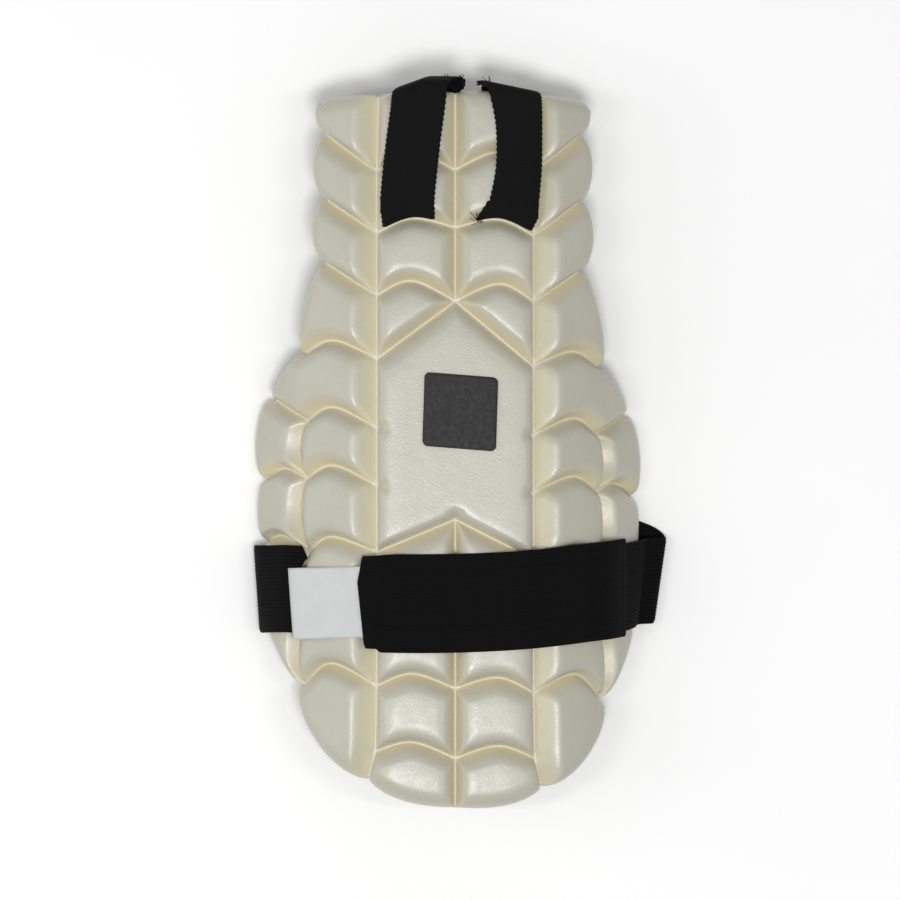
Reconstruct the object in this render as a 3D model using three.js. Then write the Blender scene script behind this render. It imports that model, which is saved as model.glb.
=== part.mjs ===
import * as THREE from 'three';

// Whole pad in millimetres, seen from the front with the narrow end up
const pad_length = 312;
const half_width = 83.7;
const narrow_end_y = 156.5;

// Foam, measured square to the curved sheet that holds the floors of the grooves
const foam_at_grooves = 8;
const foam_at_rim = 2.6;
const block_relief = 7.2;
const panel_relief = 6.8;
const panel_crown = 6.5;
const back_bevel = 7;

// Sheet goods and the air between touching pieces
const clearance = 0.3;
const elastic_width = 38;
const elastic_thickness = 1.6;
const tab_width = 42.8;
const tab_thickness = 1.6;
const webbing_width = 23.6;
const webbing_thickness = 1.8;
const label_side = 30.8;
const label_thickness = 0.6;
const badge_side = 32;
const badge_across = 0.0203;
const badge_down = 0.4484;
const badge_corner = 2.4;
const badge_thickness = 0.6;

// The floor lies this far under the groove floor of the centre line
const rest_drop = 0.5072 * half_width;

// How steep the gutter is at each distance along its skin from the centre line, as a share of half_width
const steepness = [
  { along: 0, degrees: 0 },
  { along: 0.2628, degrees: 0 },
  { along: 0.3584, degrees: 4 },
  { along: 0.454, degrees: 24 },
  { along: 0.7407, degrees: 32 },
  { along: 0.8363, degrees: 50 },
  { along: 1.362, degrees: 58 },
];

// Places on the outline and in the grooves: across is a share of half_width, down a share of pad_length
const centre_line = [
  { name: 'C0', down: 0.006 },
  { name: 'C1', down: 0.113 },
  { name: 'C2', down: 0.193 },
  { name: 'C3', down: 0.295 },
  { name: 'C4', down: 0.598 },
  { name: 'C5', down: 0.739 },
  { name: 'C6', down: 0.833 },
  { name: 'C7', down: 0.93 },
  { name: 'C8', down: 0.998 },
];
const hinge_line = [
  { name: 'H0', across: 0.394, down: 0.011 },
  { name: 'H1', across: 0.404, down: 0.115 },
  { name: 'H2', across: 0.404, down: 0.202 },
  { name: 'H3', across: 0.404, down: 0.291 },
  { name: 'H4', across: 0.404, down: 0.38 },
  { name: 'H5', across: 0.404, down: 0.476 },
  { name: 'H6', across: 0.404, down: 0.556 },
  { name: 'H7', across: 0.404, down: 0.648 },
  { name: 'H8', across: 0.404, down: 0.739 },
  { name: 'H9', across: 0.404, down: 0.834 },
  { name: 'H10', across: 0.409, down: 0.925 },
  { name: 'H11', across: 0.442, down: 0.962 },
];
const outer_line = [
  { name: 'K5', across: 0.744, down: 0.47 },
  { name: 'K6', across: 0.749, down: 0.551 },
  { name: 'K7', across: 0.738, down: 0.642 },
  { name: 'K8', across: 0.741, down: 0.734 },
];
const notches = [
  { name: 'N0', across: 0.686, down: 0.019 },
  { name: 'N1', across: 0.653, down: 0.063 },
  { name: 'N2', across: 0.653, down: 0.154 },
  { name: 'N3', across: 0.658, down: 0.246 },
  { name: 'N4', across: 0.758, down: 0.378 },
  { name: 'N5', across: 0.902, down: 0.442 },
  { name: 'N6', across: 0.938, down: 0.556 },
  { name: 'N7', across: 0.938, down: 0.641 },
  { name: 'N8', across: 0.928, down: 0.733 },
  { name: 'N9', across: 0.762, down: 0.839 },
];

// Straight grooves
const straight_grooves = [
  { from: 'C0', to: 'C1' },
  { from: 'C1', to: 'C2' },
  { from: 'C2', to: 'C3' },
  { from: 'C4', to: 'C5' },
  { from: 'C5', to: 'C6' },
  { from: 'C6', to: 'C7' },
  { from: 'C7', to: 'C8' },
  { from: 'H0', to: 'H1' },
  { from: 'H1', to: 'H2' },
  { from: 'H2', to: 'H3' },
  { from: 'H3', to: 'H4' },
  { from: 'H4', to: 'H5' },
  { from: 'H5', to: 'H6' },
  { from: 'H6', to: 'H7' },
  { from: 'H7', to: 'H8' },
  { from: 'H8', to: 'H9' },
  { from: 'H9', to: 'H10' },
  { from: 'H10', to: 'H11' },
  { from: 'C3', to: 'H4' },
  { from: 'C4', to: 'H7' },
  { from: 'H1', to: 'N1' },
  { from: 'H2', to: 'N2' },
  { from: 'H3', to: 'N3' },
  { from: 'K5', to: 'N5' },
];

// Grooves that climb to a rounded peak between their ends
const peaked_grooves = [
  { from: 'C1', to: 'H1', across: 0.223, down: 0.088 },
  { from: 'C2', to: 'H2', across: 0.223, down: 0.181 },
  { from: 'C3', to: 'H3', across: 0.228, down: 0.269 },
  { from: 'C5', to: 'H8', across: 0.223, down: 0.718 },
  { from: 'C6', to: 'H9', across: 0.223, down: 0.815 },
  { from: 'C7', to: 'H10', across: 0.223, down: 0.91 },
  { from: 'H4', to: 'N4', across: 0.62, down: 0.357 },
  { from: 'H5', to: 'K5', across: 0.62, down: 0.45 },
  { from: 'H6', to: 'K6', across: 0.62, down: 0.531 },
  { from: 'H7', to: 'K7', across: 0.63, down: 0.623 },
  { from: 'H8', to: 'K8', across: 0.63, down: 0.716 },
  { from: 'H9', to: 'N9', across: 0.63, down: 0.806 },
  { from: 'K6', to: 'N6', across: 0.858, down: 0.538 },
  { from: 'K7', to: 'N7', across: 0.855, down: 0.627 },
  { from: 'K8', to: 'N8', across: 0.845, down: 0.716 },
];

// Bowed lines: bulge is how far the middle stands out, as a share of half_width.
// Their bow swells with scallop_fullness at both ends, or with the power fades at the second
const bowed_grooves = [
  { from: 'K5', to: 'K6', bulge: 0.03 },
  { from: 'K6', to: 'K7', bulge: 0.03 },
  { from: 'K7', to: 'K8', bulge: 0.02 },
  { from: 'K8', to: 'N9', bulge: 0.03 },
];
const scallops = [
  { from: 'C0', to: 'H0', bulge: 0.022 },
  { from: 'H0', to: 'N0', bulge: 0.02 },
  { from: 'N0', to: 'N1', bulge: 0.036 },
  { from: 'N1', to: 'N2', bulge: 0.07 },
  { from: 'N2', to: 'N3', bulge: 0.073 },
  { from: 'N3', to: 'N4', bulge: 0.052 },
  { from: 'N4', to: 'N5', bulge: 0.036 },
  { from: 'N5', to: 'N6', bulge: 0.087 },
  { from: 'N6', to: 'N7', bulge: 0.042 },
  { from: 'N7', to: 'N8', bulge: 0.015 },
  { from: 'N8', to: 'N9', bulge: 0.05 },
  { from: 'N9', to: 'H11', bulge: 0.118 },
  { from: 'H11', to: 'C8', bulge: 0.055, fades: 1 },
];
const scallop_fullness = 0.62;

// The larger, the straighter the legs on both sides of a peak
const peak_sharpness = 2.5;

// Each block is named by the corners it is drawn round
const mirrored_blocks = [
  ['C0', 'H0', 'H1', 'C1'],
  ['C1', 'H1', 'H2', 'C2'],
  ['C2', 'H2', 'H3', 'C3'],
  ['C3', 'H3', 'H4'],
  ['C4', 'H7', 'H8', 'C5'],
  ['C5', 'H8', 'H9', 'C6'],
  ['C6', 'H9', 'H10', 'C7'],
  ['C7', 'H10', 'H11', 'C8'],
  ['H0', 'N0', 'N1', 'H1'],
  ['H1', 'N1', 'N2', 'H2'],
  ['H2', 'N2', 'N3', 'H3'],
  ['H3', 'N3', 'N4', 'H4'],
  ['H4', 'N4', 'N5', 'K5', 'H5'],
  ['H5', 'K5', 'K6', 'H6'],
  ['H6', 'K6', 'K7', 'H7'],
  ['H7', 'K7', 'K8', 'H8'],
  ['H8', 'K8', 'N9', 'H9'],
  ['H9', 'N9', 'H11', 'H10'],
  ['K5', 'N5', 'N6', 'K6'],
  ['K6', 'N6', 'N7', 'K7'],
  ['K7', 'N7', 'N8', 'K8'],
  ['K8', 'N8', 'N9'],
];
const panel_block = ['C3', 'H4', 'H5', 'H6', 'H7', 'C4', '-H7', '-H6', '-H5', '-H4'];

// Cross-section of a block from its groove inwards: inset in millimetres, rise as a share of the relief
const block_rings = [
  { inset: 1.9, rise: 0.5 },
  { inset: 5.6, rise: 0.93 },
];
const line_spacing = 7.4;
const sharpest_mitre = 2.3;

// The soft pad is racked a little: its right half lies lower towards the wide end
const lean = 0.046;
const lean_starts_down = 0.1;
const lean_full_down = 0.36;

// Extra fall of the wings, in millimetres, round one place on their edge
const dip_depth = 1.3;
const dip_middle_down = 0.444;
const dip_reach = 44;
const dip_from_across = 0.62;

const radians = Math.PI / 180;

function mix(a, b, t) {
  return a + (b - a) * t;
}

// Rises smoothly from 0 to 1 while the value goes from one end to the other, in either direction
function smooth(from, to, value) {
  const t = Math.min(1, Math.max(0, (value - from) / (to - from)));
  return t * t * (3 - 2 * t);
}

// Value of a table column at a place, straight between the rows
function read_table(table, key, column, place) {
  let last = table[0];
  for (const row of table) {
    if (row[key] >= place) {
      const gap = row[key] - last[key];
      return gap > 0 ? mix(last[column], row[column], (place - last[key]) / gap) : row[column];
    }
    last = row;
  }
  return last[column];
}

// Section of the gutter, stepped along its skin
const section_step = 0.5;
const section = [{ along: 0, out: 0, fall: 0, slope: 0 }];
function slope_at(along) {
  return read_table(steepness, 'along', 'degrees', along / half_width) * radians;
}

const skin_end = steepness[steepness.length - 1].along * half_width;
for (let along = section_step; along <= skin_end; along += section_step) {
  const before = section[section.length - 1];
  const slope = slope_at(along - section_step / 2);
  section.push({
    along,
    out: before.out + section_step * Math.cos(slope),
    fall: before.fall + section_step * Math.sin(slope),
    slope,
  });
}

// Distance along the skin for a distance out from the centre line in plan
function along_for(out) {
  return Math.sign(out) * read_table(section, 'out', 'along', Math.abs(out));
}

// The same for a point that floats h above the skin, so that it is seen at that distance out
function along_under(out, h) {
  const row = section.find((stop) => stop.out + h * Math.sin(stop.slope) >= Math.abs(out));
  return Math.sign(out) * row.along;
}

function y_at(down) {
  return narrow_end_y - pad_length * down;
}

// The wings hang a little lower round their upper notch, so that their edges lie on the floor
function wing_dip(reach, y) {
  const near = Math.max(0, 1 - Math.abs(y - y_at(dip_middle_down)) / dip_reach);
  return dip_depth * smooth(0, 1, near) * smooth(dip_from_across * half_width, half_width, reach);
}

// A point h above the groove floors, at a distance along the skin and a length position
function skin_point(along, y, h) {
  const side = Math.sign(along) || 1;
  const reach = Math.abs(along);
  const slope = slope_at(reach);
  const out = read_table(section, 'along', 'out', reach) + h * Math.sin(slope);
  const fall = read_table(section, 'along', 'fall', reach) + wing_dip(reach, y);
  return racked(side * out, y, rest_drop - fall + h * Math.cos(slope));
}

function racked(x, y, z) {
  const down = (narrow_end_y - y) / pad_length;
  const share = smooth(lean_starts_down, lean_full_down, down);
  return new THREE.Vector3(x, y - lean * share * x, z);
}

// Named places, with the left half a mirror image marked by a leading minus
const places = new Map();
for (const row of centre_line) {
  places.set(row.name, { across: 0, down: row.down });
}
for (const row of [...hinge_line, ...outer_line, ...notches]) {
  places.set(row.name, { across: row.across, down: row.down });
  places.set('-' + row.name, { across: -row.across, down: row.down });
}

function mirrored(name) {
  if (name.startsWith('C')) return name;
  return name.startsWith('-') ? name.slice(1) : '-' + name;
}

function flat_point(across, down) {
  return new THREE.Vector2(along_for(across * half_width), y_at(down));
}

// Mesh under construction
class Shell {
  constructor() {
    this.vertices = [];
    this.faces = [];
  }

  vertex(point) {
    this.vertices.push(point.x, point.y, point.z);
    return this.vertices.length / 3 - 1;
  }

  face(a, b, c) {
    this.faces.push(a, b, c);
  }

  quad(a, b, c, d) {
    this.face(a, b, c);
    this.face(a, c, d);
  }

  geometry() {
    const result = new THREE.BufferGeometry();
    result.setAttribute('position', new THREE.Float32BufferAttribute(this.vertices, 3));
    result.setIndex(this.faces);
    result.computeVertexNormals();
    return result;
  }
}

// The moulded pad: lines first, so that neighbouring blocks share their edges
const pad = new Shell();
const samples = [];
const corner_of = new Map();
const lines = new Map();

function add_sample(flat, on_rim) {
  const back = on_rim ? -foam_at_rim : -foam_at_grooves;
  samples.push({
    flat,
    front: pad.vertex(skin_point(flat.x, flat.y, 0)),
    back: pad.vertex(skin_point(flat.x, flat.y, back)),
  });
  return samples.length - 1;
}

const rim_names = new Set();
for (const row of scallops) {
  rim_names.add(row.from);
  rim_names.add(row.to);
}
for (const [name, place] of places) {
  const bare = name.replace('-', '');
  corner_of.set(name, add_sample(flat_point(place.across, place.down), rim_names.has(bare)));
}

function lay_line(from, to, shape, on_rim) {
  const start = samples[corner_of.get(from)].flat;
  const end = samples[corner_of.get(to)].flat;
  const count = Math.max(2, Math.round(start.distanceTo(end) / line_spacing));
  const list = [corner_of.get(from)];
  for (let i = 1; i < count; i += 1) {
    list.push(add_sample(shape(start, end, i / count), on_rim));
  }
  list.push(corner_of.get(to));
  lines.set(from + ' ' + to, { list, on_rim });
  lines.set(to + ' ' + from, { list: [...list].reverse(), on_rim });
}

function lay_both(row, shape_for, on_rim) {
  lay_line(row.from, row.to, shape_for(1), on_rim);
  const left_from = mirrored(row.from);
  const left_to = mirrored(row.to);
  if (left_from !== row.from || left_to !== row.to) {
    lay_line(left_from, left_to, shape_for(-1), on_rim);
  }
}

for (const row of straight_grooves) {
  lay_both(row, () => (a, b, t) => a.clone().lerp(b, t), false);
}

for (const row of peaked_grooves) {
  const through = (side) => (a, b, t) => {
    const peak = flat_point(side * row.across, row.down);
    const pull = 2 * peak_sharpness * t * (1 - t);
    const lift = peak.clone().multiplyScalar(2 + 2 * peak_sharpness).sub(a).sub(b)
      .multiplyScalar(1 / (2 * peak_sharpness));
    return a.clone().multiplyScalar((1 - t) ** 2)
      .add(lift.multiplyScalar(pull))
      .add(b.clone().multiplyScalar(t * t))
      .multiplyScalar(1 / ((1 - t) ** 2 + pull + t * t));
  };
  lay_both(row, through, false);
}

function bowed(bulge, fullness, fades = fullness) {
  return (side) => (a, b, t) => {
    const run = b.clone().sub(a);
    const outward = new THREE.Vector2(-run.y, run.x).normalize().multiplyScalar(side);
    const height = bulge * half_width * (2 * t) ** fullness * (2 - 2 * t) ** fades;
    return a.clone().lerp(b, t).add(outward.multiplyScalar(height));
  };
}

for (const row of bowed_grooves) {
  lay_both(row, bowed(row.bulge, 1), false);
}
for (const row of scallops) {
  lay_both(row, bowed(row.bulge, scallop_fullness, row.fades), true);
}

// A loop of samples round one block, with the joints where its lines meet
function block_loop(names) {
  const sides = names.map((name, i) => lines.get(name + ' ' + names[(i + 1) % names.length]).list);
  return sides;
}

function inset_loop(sides, distance) {
  const frames = sides.map((list) => list.map((index, i) => {
    const before = samples[list[Math.max(0, i - 1)]].flat;
    const after = samples[list[Math.min(list.length - 1, i + 1)]].flat;
    const run = after.clone().sub(before).normalize();
    return { at: samples[index].flat, run, inward: new THREE.Vector2(run.y, -run.x) };
  }));
  const joints = frames.map((side, i) => {
    const before = frames[(i + frames.length - 1) % frames.length];
    const first = before[before.length - 1];
    const second = side[0];
    const turn = first.inward.clone().add(second.inward);
    const size = Math.min(sharpest_mitre, 2 / Math.max(0.2, turn.length()));
    return turn.normalize().multiplyScalar(size * distance);
  });
  return frames.map((side, i) => {
    const next = joints[(i + 1) % joints.length];
    const slide_first = joints[i].dot(side[0].run);
    const slide_last = next.dot(side[side.length - 1].run);
    return side.map((frame, k) => {
      if (k === 0) return frame.at.clone().add(joints[i]);
      const t = k / (side.length - 1);
      return frame.at.clone()
        .add(frame.run.clone().multiplyScalar(mix(slide_first, slide_last, t)))
        .add(frame.inward.clone().multiplyScalar(distance));
    });
  });
}

function flatten(sides) {
  return sides.flatMap((list) => list.slice(0, -1));
}

function build_block(names, relief, crown_height) {
  const sides = block_loop(names);
  const base = flatten(sides);
  let ring = base.map((index) => samples[index].front);
  let flats = base.map((index) => samples[index].flat);
  for (const step of block_rings) {
    flats = flatten(inset_loop(sides, step.inset));
    const next = flats.map((flat) => pad.vertex(skin_point(flat.x, flat.y, relief * step.rise)));
    join_rings(ring, next);
    ring = next;
  }
  close_ring(ring, flats, crown_height);

  const back_ring = base.map((index) => samples[index].back);
  const back_flats = flatten(inset_loop(sides, back_bevel));
  const inner = back_flats.map((flat) => pad.vertex(skin_point(flat.x, flat.y, -foam_at_grooves)));
  join_rings([...back_ring].reverse(), [...inner].reverse());
  close_ring([...inner].reverse(), back_flats, -foam_at_grooves);
}

function join_rings(outer, inner) {
  outer.forEach((vertex, i) => {
    const next = (i + 1) % outer.length;
    pad.quad(vertex, inner[i], inner[next], outer[next]);
  });
}

function close_ring(ring, flats, h) {
  const middle = new THREE.Vector2();
  flats.forEach((flat) => middle.add(flat));
  middle.multiplyScalar(1 / flats.length);
  const hub = pad.vertex(skin_point(middle.x, middle.y, h));
  ring.forEach((vertex, i) => pad.face(vertex, hub, ring[(i + 1) % ring.length]));
}

for (const names of mirrored_blocks) {
  build_block(names, block_relief, block_relief);
  build_block([...names].reverse().map(mirrored), block_relief, block_relief);
}
build_block(panel_block, panel_relief, panel_crown);

// Thin wall round the outline
for (const row of scallops) {
  for (const [from, to] of [[row.from, row.to], [mirrored(row.to), mirrored(row.from)]]) {
    const list = lines.get(from + ' ' + to).list;
    for (let i = 0; i + 1 < list.length; i += 1) {
      const a = samples[list[i]];
      const b = samples[list[i + 1]];
      pad.quad(a.front, b.front, b.back, a.back);
    }
  }
}

// A strip of cloth: rows run along it, each row is a list of points across its width
function strip(rows, thickness) {
  const shell = new Shell();
  const across = rows[0].length;
  const grids = [0, 1].map(() => []);
  rows.forEach((row, r) => {
    const before = rows[Math.max(0, r - 1)];
    const after = rows[Math.min(rows.length - 1, r + 1)];
    const tops = [];
    const bottoms = [];
    row.forEach((point, c) => {
      const along = after[c].clone().sub(before[c]);
      const width = row[Math.min(across - 1, c + 1)].clone().sub(row[Math.max(0, c - 1)]);
      const normal = along.cross(width).normalize().multiplyScalar(thickness / 2);
      tops.push(shell.vertex(point.clone().add(normal)));
      bottoms.push(shell.vertex(point.clone().sub(normal)));
    });
    grids[0].push(tops);
    grids[1].push(bottoms);
  });
  const [tops, bottoms] = grids;
  const last = rows.length - 1;
  for (let r = 0; r < last; r += 1) {
    for (let c = 0; c + 1 < across; c += 1) {
      shell.quad(tops[r][c], tops[r + 1][c], tops[r + 1][c + 1], tops[r][c + 1]);
      shell.quad(bottoms[r][c], bottoms[r][c + 1], bottoms[r + 1][c + 1], bottoms[r + 1][c]);
    }
    shell.quad(tops[r][0], bottoms[r][0], bottoms[r + 1][0], tops[r + 1][0]);
    const e = across - 1;
    shell.quad(tops[r][e], tops[r + 1][e], bottoms[r + 1][e], bottoms[r][e]);
  }
  for (let c = 0; c + 1 < across; c += 1) {
    shell.quad(tops[0][c], tops[0][c + 1], bottoms[0][c + 1], bottoms[0][c]);
    shell.quad(tops[last][c], bottoms[last][c], bottoms[last][c + 1], tops[last][c + 1]);
  }
  return shell.geometry();
}

// Heights of the cloth over the block tops, to the middle of its thickness
const over_blocks = block_relief + clearance;
const label_height = over_blocks + elastic_thickness + clearance + label_thickness / 2;
const elastic_height = over_blocks + elastic_thickness / 2;
const tab_low = over_blocks + tab_thickness / 2;
const tab_over_label = tab_low + label_thickness + clearance;
const tab_high = over_blocks + elastic_thickness + clearance + tab_thickness / 2;

// Elastic strap seen in section, from its tucked end on the left, under the pad, to its end on the right front.
// out and along are shares of half_width, down is a share of pad_length to the middle of its width,
// up and h are heights over the floor and over the groove floors, skew slants the turn over the width
const floor_height = elastic_thickness / 2;
const left_groove_out = -outer_line[3].across * half_width;
const left_groove = along_for(left_groove_out) / half_width;
const rear_path = [
  { out: -0.994, up: 6.8, down: 0.708, skew: -0.07 },
  { out: -0.983, up: 2.8, down: 0.708, skew: -0.06 },
  { out: -0.9414, up: floor_height, down: 0.7074, skew: -0.03 },
  { out: -0.7168, up: floor_height, down: 0.699 },
  { out: -0.3584, up: floor_height, down: 0.6875 },
  { out: 0, up: floor_height, down: 0.676 },
  { out: 0.3584, up: floor_height, down: 0.6647 },
  { out: 0.7168, up: floor_height, down: 0.6535 },
  { out: 0.9319, up: floor_height, down: 0.6468 },
  { out: 1.044, up: floor_height + 0.2, down: 0.6545, skew: 0.08 },
  { out: 1.0885, up: 2.4, down: 0.663, skew: 0.14 },
  { out: 1.104, up: 5.4, down: 0.669, skew: 0.14 },
  { out: 1.0968, up: 9.2, down: 0.671, skew: 0.14 },
];
const left_front = [
  { along: left_groove - 0.0191, h: 5.2, down: 0.7048 },
  { along: left_groove - 0.043, h: 7.1, down: 0.7051 },
  { along: left_groove - 0.0836, h: elastic_height, down: 0.7054 },
  { along: -0.9558, h: elastic_height + 0.2, down: 0.7067 },
  { along: -1.0255, h: elastic_height - 0.1, down: 0.7077, skew: -0.04 },
  { along: -1.0765, h: elastic_height - 1.1, down: 0.708, skew: -0.06 },
];
const right_front = [
  { along: 1.118, h: elastic_height - 1, down: 0.6735, skew: 0.12 },
  { along: 1.0394, h: elastic_height, down: 0.677, skew: 0.05 },
  { along: 0.9558, h: elastic_height, down: 0.6811 },
  { along: 0.8961, h: elastic_height, down: 0.6833 },
  { along: 0.8554, h: elastic_height, down: 0.6849 },
];

function across_width(point_at, width, columns) {
  const row = [];
  for (let c = 0; c <= columns; c += 1) {
    row.push(point_at(width * (0.5 - c / columns)));
  }
  return row;
}

function on_skin(stop, width, columns) {
  const along = (offset) => stop.along * half_width + (stop.skew || 0) * offset;
  return across_width((offset) => skin_point(along(offset), y_at(stop.down) + offset, stop.h), width, columns);
}

function in_air(stop, width, columns) {
  const out = (offset) => stop.out * half_width + (stop.skew || 0) * offset;
  return across_width((offset) => racked(out(offset), y_at(stop.down) + offset, stop.up), width, columns);
}

const elastic_rows = [
  ...left_front.map((stop) => on_skin(stop, elastic_width, 2)),
  ...rear_path.map((stop) => in_air(stop, elastic_width, 2)),
  ...right_front.map((stop) => on_skin(stop, elastic_width, 2)),
];

// Wide stitched tab over the front, from its free end on the left to the seam on the right
const tab_left = -0.4922 * half_width;
const tab_right = 0.902 * half_width;
const tab_right_down = 0.6824;
const tab_left_down = 0.7189;
const label_tuck = 2.7;
const label_right = tab_left + label_tuck;
const tab_steps = 30;
const tab_rows = [];
for (let i = 0; i <= tab_steps; i += 1) {
  const out = mix(tab_right, tab_left, i / tab_steps);
  const along = along_under(out, tab_high);
  const rise = smooth(0.669 * half_width, 0.7885 * half_width, along);
  const lift = smooth(label_right + 12.5, label_right + 2.5, out);
  const h = mix(tab_low, tab_high, rise) + lift * (tab_over_label - tab_low);
  const fallen = 1 - (1 - i / tab_steps) ** 2;
  const stop = { along: along / half_width, h, down: mix(tab_right_down, tab_left_down, fallen) };
  tab_rows.push(on_skin(stop, tab_width, 2));
}

// Blank care label, its right edge under the tab
const label_rows = [];
const label_right_down = 0.7186;
const label_left_down = 0.7258;
for (let i = 0; i <= 8; i += 1) {
  const out = label_right - (label_side + 2.6) * (i / 8);
  const along = along_under(out, label_height);
  const over_strap = smooth(left_groove_out + 10, left_groove_out + 2, out);
  const h = mix(over_blocks + label_thickness / 2, label_height, over_strap);
  const down = mix(label_right_down, label_left_down, i / 8);
  const stop = { along: along / half_width, h, down, skew: mix(-0.03, -0.07, i / 8) };
  label_rows.push(on_skin(stop, label_side, 2));
}

// Webbing loops: h follows the blocks, then goes round the narrow end and down the back.
// across is a share of half_width, wide a share of webbing_width, slant the skew of the fold over the width
const webbing_over = over_blocks + webbing_thickness / 2;
const webbing_under = -foam_at_grooves - clearance - webbing_thickness / 2;
const webbing_drop = [
  { before: 1.1, h: 5.4 },
  { before: 2.7, h: 6.95 },
  { before: 4.6, h: 7.8 },
  { before: 8, h: webbing_over },
];
const narrow_y = y_at(0);

// Where a groove crosses a distance along the skin
function groove_y(line_name, along) {
  const row = lines.get(line_name).list.map((index) => samples[index].flat);
  const beyond = row.findIndex((flat, i) => i > 0 && Math.abs(flat.x) >= Math.abs(along));
  const next = beyond < 0 ? row.length - 1 : beyond;
  const a = row[next - 1];
  const b = row[next];
  return mix(a.y, b.y, (along - a.x) / (b.x - a.x));
}

function webbing(front_stops, top_stops, slant, groove_name, back_end_down) {
  const columns = 4;
  const rows = [];
  const [end, flare] = front_stops;
  const place = (stop, c) => stop.across * half_width + stop.wide * webbing_width * (c / columns - 0.5);
  webbing_drop.forEach((stop) => {
    const row = [];
    const share = stop.before / (webbing_drop[webbing_drop.length - 1].before + 1);
    for (let c = 0; c <= columns; c += 1) {
      const along = along_under(mix(place(end, c), place(flare, c), share), webbing_over);
      row.push(skin_point(along, groove_y(groove_name, along) + stop.before, stop.h));
    }
    rows.push(row);
  });
  for (const stop of front_stops.slice(1)) {
    const row = [];
    for (let c = 0; c <= columns; c += 1) {
      row.push(skin_point(along_under(place(stop, c), webbing_over), y_at(stop.down), webbing_over));
    }
    rows.push(row);
  }
  for (const stop of top_stops) {
    const row = [];
    for (let c = 0; c <= columns; c += 1) {
      const beyond = stop.beyond + slant * (c / columns - 0.5);
      row.push(racked(place(stop, c), narrow_y + beyond, rest_drop + stop.up));
    }
    rows.push(row);
  }
  const turn = top_stops[top_stops.length - 1];
  for (let i = 0; i <= 5; i += 1) {
    const y = mix(narrow_y - 7, y_at(back_end_down), i / 5);
    const row = [];
    for (let c = 0; c <= columns; c += 1) {
      row.push(skin_point(along_for(place(turn, c)), y, webbing_under));
    }
    rows.push(row);
  }
  return strip(rows, webbing_thickness);
}

const left_webbing = webbing(
  [
    { across: -0.2473, wide: 0.953 },
    { across: -0.2557, wide: 0.992, down: 0.155 },
    { across: -0.2461, wide: 1.0, down: 0.125 },
    { across: -0.2258, wide: 1.0, down: 0.075 },
    { across: -0.2031, wide: 1.0, down: 0.03 },
  ],
  [
    { across: -0.1864, wide: 1.0, beyond: 1.4, up: 8 },
    { across: -0.1744, wide: 1.0, beyond: 4, up: 5.4 },
    { across: -0.1481, wide: 1.0, beyond: 4.8, up: 1 },
    { across: -0.1219, wide: 1.0, beyond: 4, up: -4 },
    { across: -0.1147, wide: 1.0, beyond: 0.6, up: -7.6 },
  ],
  3.2,
  'C2 -H2',
  0.17,
);
const right_webbing = webbing(
  [
    { across: 0.2497, wide: 1.025 },
    { across: 0.304, wide: 0.886, down: 0.155 },
    { across: 0.3226, wide: 0.847, down: 0.11 },
    { across: 0.325, wide: 0.847, down: 0.06 },
    { across: 0.3154, wide: 0.907, down: 0.026 },
  ],
  [
    { across: 0.2987, wide: 1.0, beyond: -0.4, up: 8.2 },
    { across: 0.2867, wide: 1.034, beyond: 2, up: 6 },
    { across: 0.2843, wide: 1.034, beyond: 3, up: 1 },
    { across: 0.2843, wide: 1.017, beyond: 2.4, up: -4 },
    { across: 0.2867, wide: 1.0, beyond: 0, up: -7.8 },
  ],
  -3.2,
  'C2 H2',
  0.17,
);

// Plain badge: a thin rounded square lying on the flat middle of the centre panel
function badge_geometry() {
  const half = badge_side / 2;
  const shape = new THREE.Shape();
  shape.moveTo(-half + badge_corner, -half);
  shape.lineTo(half - badge_corner, -half);
  shape.quadraticCurveTo(half, -half, half, -half + badge_corner);
  shape.lineTo(half, half - badge_corner);
  shape.quadraticCurveTo(half, half, half - badge_corner, half);
  shape.lineTo(-half + badge_corner, half);
  shape.quadraticCurveTo(-half, half, -half, half - badge_corner);
  shape.lineTo(-half, -half + badge_corner);
  shape.quadraticCurveTo(-half, -half, -half + badge_corner, -half);
  const result = new THREE.ExtrudeGeometry(shape, { depth: badge_thickness, bevelEnabled: false, curveSegments: 3 });
  result.rotateZ(-1.8 * radians);
  result.translate(badge_across * half_width, y_at(badge_down), rest_drop + panel_crown + clearance);
  return result;
}

const materials = {
  foam: new THREE.MeshStandardMaterial({ color: '#e6ddc8', roughness: 0.42, metalness: 0 }),
  webbing: new THREE.MeshStandardMaterial({ color: '#17171a', roughness: 0.85, metalness: 0 }),
  elastic: new THREE.MeshStandardMaterial({ color: '#141416', roughness: 0.9, metalness: 0 }),
  label: new THREE.MeshStandardMaterial({ color: '#f2f1ee', roughness: 0.7, metalness: 0 }),
  badge: new THREE.MeshStandardMaterial({ color: '#1c1c20', roughness: 0.5, metalness: 0 }),
};

const assembly = new THREE.Group();
assembly.name = 'inner_thigh_pad';

function add_piece(name, geometry, material) {
  const mesh = new THREE.Mesh(geometry, material);
  mesh.name = name;
  assembly.add(mesh);
}

add_piece('moulded_pad', pad.geometry(), materials.foam);
add_piece('elastic_strap', strip(elastic_rows, elastic_thickness), materials.elastic);
add_piece('strap_end_tab', strip(tab_rows, tab_thickness), materials.elastic);
add_piece('care_label', strip(label_rows, label_thickness), materials.label);
add_piece('webbing_loop_left', left_webbing, materials.webbing);
add_piece('webbing_loop_right', right_webbing, materials.webbing);
add_piece('badge', badge_geometry(), materials.badge);

// The frame's origin is the middle of the underside of everything
assembly.updateMatrixWorld(true);
const extent = new THREE.Box3().setFromObject(assembly, true);
const middle = extent.getCenter(new THREE.Vector3());
assembly.position.set(-middle.x, -middle.y, -extent.min.z);

export default assembly;
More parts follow.
